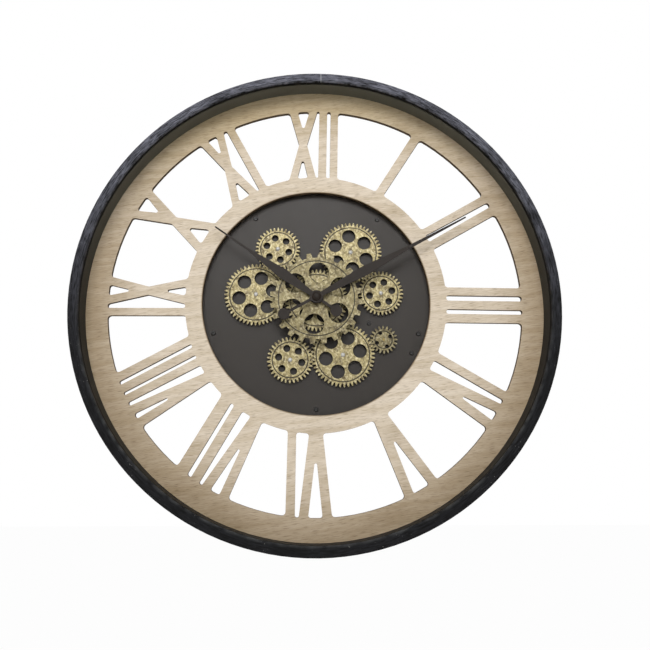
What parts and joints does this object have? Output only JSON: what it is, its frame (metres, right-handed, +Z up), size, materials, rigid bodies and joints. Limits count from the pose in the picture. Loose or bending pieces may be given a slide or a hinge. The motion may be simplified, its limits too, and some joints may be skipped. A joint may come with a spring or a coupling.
{
  "type": "skeleton gear wall clock",
  "caption": "Round skeleton wall clock: wooden Roman-numeral dial in a deep black rim with front glass, over a dark plate of turning gears, with lozenge hands.",
  "frame": {"origin": "point of the wall plane behind the hands' axis", "axes": "+Z up, -Y out of the dial towards the viewer, +Y along the hands' axis into the wall, +X to the viewer's right"},
  "size_m": [0.5999, 0.072, 0.6],
  "materials": {
    "rim_black": "distressed black paint, satin",
    "hoop_black": "bent board painted flat black",
    "glass": "clear",
    "dial_wood": "natural light wood, matte",
    "zinc_steel": "zinc plated",
    "case_steel": "dark enamel, semi-gloss",
    "plate_steel": "dark bronze enamel, semi-gloss",
    "dark_screw": "black oxide",
    "axle_steel": "bright turned steel",
    "center_brass": "turned brass",
    "gear_brass": "antiqued brass plating with dark patina",
    "black_plastic": "fine-grained black",
    "battery_jacket": "plain shrink sleeve",
    "hand_steel": "charcoal satin paint",
    "slider_plastic": "ivory",
    "lead_red": "insulated wire"
  },
  "bodies": {
    "frame": {"rim_moulding": "rim_black", "hoop": "hoop_black", "front_glass": "glass", "dial_outer_band": "dial_wood", "dial_inner_band": "dial_wood", "numeral_bars": "dial_wood", "numeral_vees": "dial_wood", "numeral_crosses": "dial_wood", "hanger_plate": "zinc_steel", "hanger_screws": "zinc_steel", "gear_case": "case_steel", "case_screws": "zinc_steel", "plate_posts": "zinc_steel", "gear_plate": "plate_steel", "plate_screws": "dark_screw", "gear_axles": "axle_steel", "center_post": "axle_steel", "center_washer": "axle_steel", "center_nut": "center_brass", "gear_motor": "zinc_steel", "motor_screws": "dark_screw", "movement_case": "black_plastic", "clock_battery": "battery_jacket", "clock_contacts": "zinc_steel", "battery_box": "black_plastic", "motor_batteries": "battery_jacket", "battery_contacts": "zinc_steel", "switch_body": "black_plastic", "motor_leads": "lead_red"},
    "center_wheel": {"center_hub": "gear_brass", "center_gear_rear": "gear_brass", "center_gear_front": "gear_brass"},
    "left_wheel": {"gear_left": "gear_brass"},
    "top_left_wheel": {"gear_top_left": "gear_brass"},
    "top_right_wheel": {"gear_top_right": "gear_brass"},
    "right_wheel": {"gear_right": "gear_brass"},
    "bottom_left_wheel": {"gear_bottom_left": "gear_brass"},
    "bottom_right_wheel": {"gear_bottom_right": "gear_brass"},
    "motor_wheel": {"motor_gear": "gear_brass", "motor_shaft": "axle_steel"},
    "minute": {"minute_arbor": "center_brass", "minute_hand": "hand_steel", "hub_cap": "hand_steel"},
    "hour": {"hour_tube": "center_brass", "hour_hand": "hand_steel"},
    "knob": {"set_knob": "black_plastic"},
    "door": {"battery_door": "black_plastic"},
    "slider": {"switch_slider": "slider_plastic"}
  },
  "joints": [
    {"name": "center_spin", "type": "hinge", "parent": "frame", "child": "center_wheel", "pos_m": [0, -0.0307, 0], "axis": [0, 1, 0], "continuous": true},
    {"name": "left_spin", "type": "hinge", "parent": "frame", "child": "left_wheel", "pos_m": [-0.07647, -0.0307, 0.00709], "axis": [0, 1, 0], "continuous": true},
    {"name": "top_left_spin", "type": "hinge", "parent": "frame", "child": "top_left_wheel", "pos_m": [-0.04989, -0.0307, 0.06707], "axis": [0, 1, 0], "continuous": true},
    {"name": "top_right_spin", "type": "hinge", "parent": "frame", "child": "top_right_wheel", "pos_m": [0.04394, -0.0307, 0.06299], "axis": [0, 1, 0], "continuous": true},
    {"name": "right_spin", "type": "hinge", "parent": "frame", "child": "right_wheel", "pos_m": [0.08175, -0.0307, 0.00938], "axis": [0, 1, 0], "continuous": true},
    {"name": "bottom_left_spin", "type": "hinge", "parent": "frame", "child": "bottom_left_wheel", "pos_m": [-0.03222, -0.0307, -0.07572], "axis": [0, 1, 0], "continuous": true},
    {"name": "bottom_right_spin", "type": "hinge", "parent": "frame", "child": "bottom_right_wheel", "pos_m": [0.03306, -0.0307, -0.06932], "axis": [0, 1, 0], "continuous": true},
    {"name": "motor_spin", "type": "hinge", "parent": "frame", "child": "motor_wheel", "pos_m": [0.08405, -0.0307, -0.05036], "axis": [0, 1, 0], "continuous": true},
    {"name": "minute_spin", "type": "hinge", "parent": "frame", "child": "minute", "pos_m": [0, -0.0527, 0], "axis": [0, 1, 0], "continuous": true},
    {"name": "hour_spin", "type": "hinge", "parent": "frame", "child": "hour", "pos_m": [0, -0.0497, 0], "axis": [0, 1, 0], "continuous": true},
    {"name": "knob_spin", "type": "hinge", "parent": "frame", "child": "knob", "pos_m": [0.013, -0.008, 0.012], "axis": [0, 1, 0], "continuous": true},
    {"name": "door_hinge", "type": "hinge", "parent": "frame", "child": "door", "pos_m": [-0.07, -0.00225, -0.03635], "axis": [1, 0, 0], "range_deg": [0, 100]},
    {"name": "switch_slide", "type": "slide", "parent": "frame", "child": "slider", "axis": [1, 0, 0], "range_m": [0, 0.004]}
  ],
  "couplings": [
    {"joint": "left_spin", "follows": "center_spin", "ratio": -1},
    {"joint": "top_right_spin", "follows": "center_spin", "ratio": -1},
    {"joint": "bottom_right_spin", "follows": "center_spin", "ratio": -1},
    {"joint": "top_left_spin", "follows": "center_spin", "ratio": 1.4118},
    {"joint": "right_spin", "follows": "center_spin", "ratio": 1.4118},
    {"joint": "bottom_left_spin", "follows": "center_spin", "ratio": 1.4118},
    {"joint": "motor_spin", "follows": "center_spin", "ratio": 2.4},
    {"joint": "hour_spin", "follows": "minute_spin", "ratio": 0.083333},
    {"joint": "knob_spin", "follows": "minute_spin", "ratio": -3}
  ]
}
